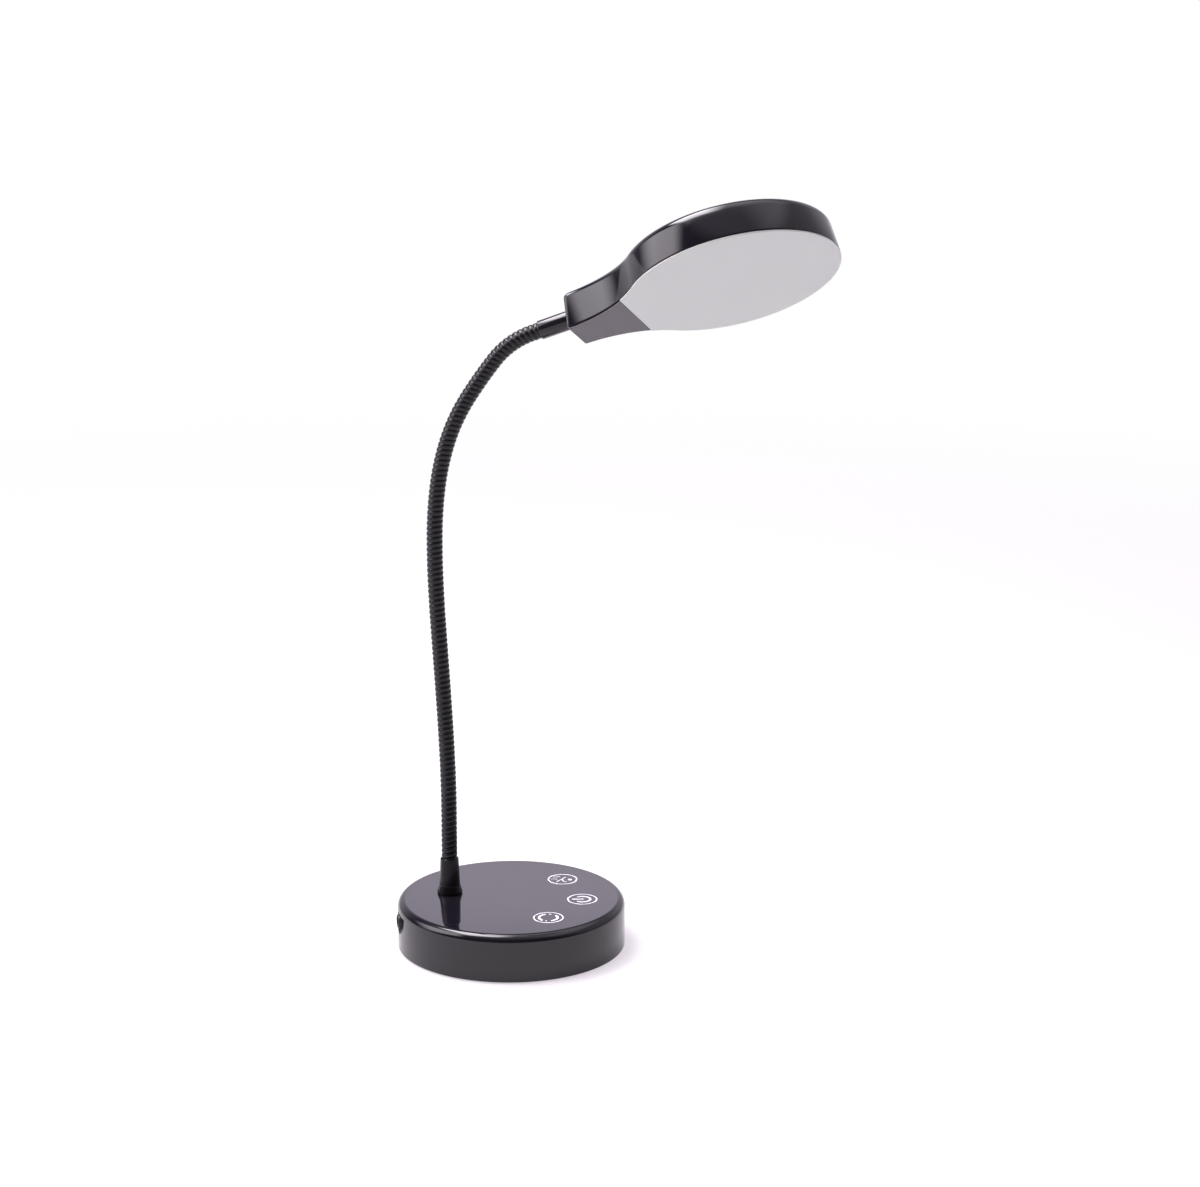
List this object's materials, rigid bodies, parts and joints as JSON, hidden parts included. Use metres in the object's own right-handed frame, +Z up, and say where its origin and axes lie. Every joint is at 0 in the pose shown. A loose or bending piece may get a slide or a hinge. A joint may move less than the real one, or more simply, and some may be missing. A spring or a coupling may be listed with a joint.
{
  "type": "gooseneck desk lamp",
  "caption": "LED desk lamp with a weighted round touch base, a flexible metal gooseneck and a flat paddle-shaped head with a round diffuser underneath.",
  "frame": {"origin": "centre of the round base, on the table", "axes": "+Z up, +X from the neck towards the lamp head, +Y to the lamp's left as seen from the head's side"},
  "size_m": [0.2418, 0.127, 0.4289],
  "materials": {
    "gloss_black_abs": "high gloss black moulded ABS",
    "black_abs": "plain black moulded plastic",
    "satin_grey_abs": "satin dark grey plastic",
    "frosted_diffuser": "opal frosted acrylic",
    "white_plastic": "white reflective plastic",
    "eva_foam": "fine grained anti-slip foam",
    "cast_iron": "rough casting",
    "zinc_steel": "zinc plated",
    "black_steel": "blackened steel",
    "conductive_foam": "dark conductive foam",
    "black_hose": "satin black lacquered steel hose",
    "black_chrome_sleeve": "glossy black lacquered metal",
    "board_green": "solder resist",
    "board_white": "white resist on aluminium",
    "led_phosphor": "yellow phosphor"
  },
  "bodies": {
    "base": {"anti_slip_pad": "eva_foam", "ballast_screws": "zinc_steel", "ballast_weight": "cast_iron", "base_cover": "gloss_black_abs", "base_plate": "black_abs", "board_screws": "zinc_steel", "cover_screws": "zinc_steel", "dc_inlet": "black_abs", "neck_root": "black_hose", "stem_nut": "zinc_steel", "stem_sleeve": "black_chrome_sleeve", "stem_washer": "zinc_steel", "touch_board": "board_green", "touch_electrodes": "conductive_foam"},
    "link_01": {"neck_link_01": "black_hose"},
    "link_02": {"neck_link_02": "black_hose"},
    "link_03": {"neck_link_03": "black_hose"},
    "link_04": {"neck_link_04": "black_hose"},
    "link_05": {"neck_link_05": "black_hose"},
    "link_06": {"neck_link_06": "black_hose"},
    "link_07": {"neck_link_07": "black_hose"},
    "link_08": {"neck_link_08": "black_hose"},
    "link_09": {"neck_link_09": "black_hose"},
    "link_10": {"neck_link_10": "black_hose"},
    "link_11": {"neck_link_11": "black_hose"},
    "link_12": {"neck_link_12": "black_hose"},
    "neck_end": {"neck_tip": "black_hose", "head_sleeve": "black_chrome_sleeve", "grub_screw": "black_steel", "tip_washer": "zinc_steel", "tip_nut": "zinc_steel"},
    "head": {"head_housing": "gloss_black_abs", "tab_cover": "satin_grey_abs", "diffuser": "frosted_diffuser", "led_board": "board_white", "led_chips": "led_phosphor", "reflector": "white_plastic", "led_screws": "zinc_steel", "tube_clamp": "black_abs", "clamp_screws": "zinc_steel"}
  },
  "joints": [
    {"name": "neck_bend_01", "type": "hinge", "parent": "base", "child": "link_01", "pos_m": [-0.0352, 0, 0.049], "axis": [0, 1, 0], "range_deg": [-12, 12]},
    {"name": "neck_sway_02", "type": "hinge", "parent": "link_01", "child": "link_02", "pos_m": [-0.0352, 0, 0.0755], "axis": [-1, 0, 0], "range_deg": [-12, 12]},
    {"name": "neck_bend_03", "type": "hinge", "parent": "link_02", "child": "link_03", "pos_m": [-0.03566, 0, 0.102], "axis": [0, 1, 0], "range_deg": [-12, 12]},
    {"name": "neck_sway_04", "type": "hinge", "parent": "link_03", "child": "link_04", "pos_m": [-0.03682, 0, 0.12847], "axis": [-0.9986, 0, -0.0523], "range_deg": [-12, 12]},
    {"name": "neck_bend_05", "type": "hinge", "parent": "link_04", "child": "link_05", "pos_m": [-0.03832, 0, 0.15493], "axis": [0, 1, 0], "range_deg": [-12, 12]},
    {"name": "neck_sway_06", "type": "hinge", "parent": "link_05", "child": "link_06", "pos_m": [-0.03994, 0, 0.18138], "axis": [-0.9981, 0, -0.061], "range_deg": [-12, 12]},
    {"name": "neck_bend_07", "type": "hinge", "parent": "link_06", "child": "link_07", "pos_m": [-0.04121, 0, 0.20785], "axis": [0, 1, 0], "range_deg": [-12, 12]},
    {"name": "neck_sway_08", "type": "hinge", "parent": "link_07", "child": "link_08", "pos_m": [-0.04144, 0, 0.23434], "axis": [-0.9998, 0, 0.0175], "range_deg": [-12, 12]},
    {"name": "neck_bend_09", "type": "hinge", "parent": "link_08", "child": "link_09", "pos_m": [-0.03948, 0, 0.26076], "axis": [0, 1, 0], "range_deg": [-12, 12]},
    {"name": "neck_sway_10", "type": "hinge", "parent": "link_09", "child": "link_10", "pos_m": [-0.03364, 0, 0.28657], "axis": [-0.9511, 0, 0.309], "range_deg": [-12, 12]},
    {"name": "neck_bend_11", "type": "hinge", "parent": "link_10", "child": "link_11", "pos_m": [-0.02247, 0, 0.31052], "axis": [0, 1, 0], "range_deg": [-12, 12]},
    {"name": "neck_sway_12", "type": "hinge", "parent": "link_11", "child": "link_12", "pos_m": [-0.00737, 0, 0.33229], "axis": [-0.7934, 0, 0.6088], "range_deg": [-12, 12]},
    {"name": "neck_bend_13", "type": "hinge", "parent": "link_12", "child": "neck_end", "pos_m": [0.0136, 0, 0.34794], "axis": [0, 1, 0], "range_deg": [-12, 12]},
    {"name": "head_turn", "type": "hinge", "parent": "neck_end", "child": "head", "pos_m": [0.04221, 0, 0.35893], "axis": [0.9336, 0, 0.3584], "range_deg": [-15, 75]}
  ]
}
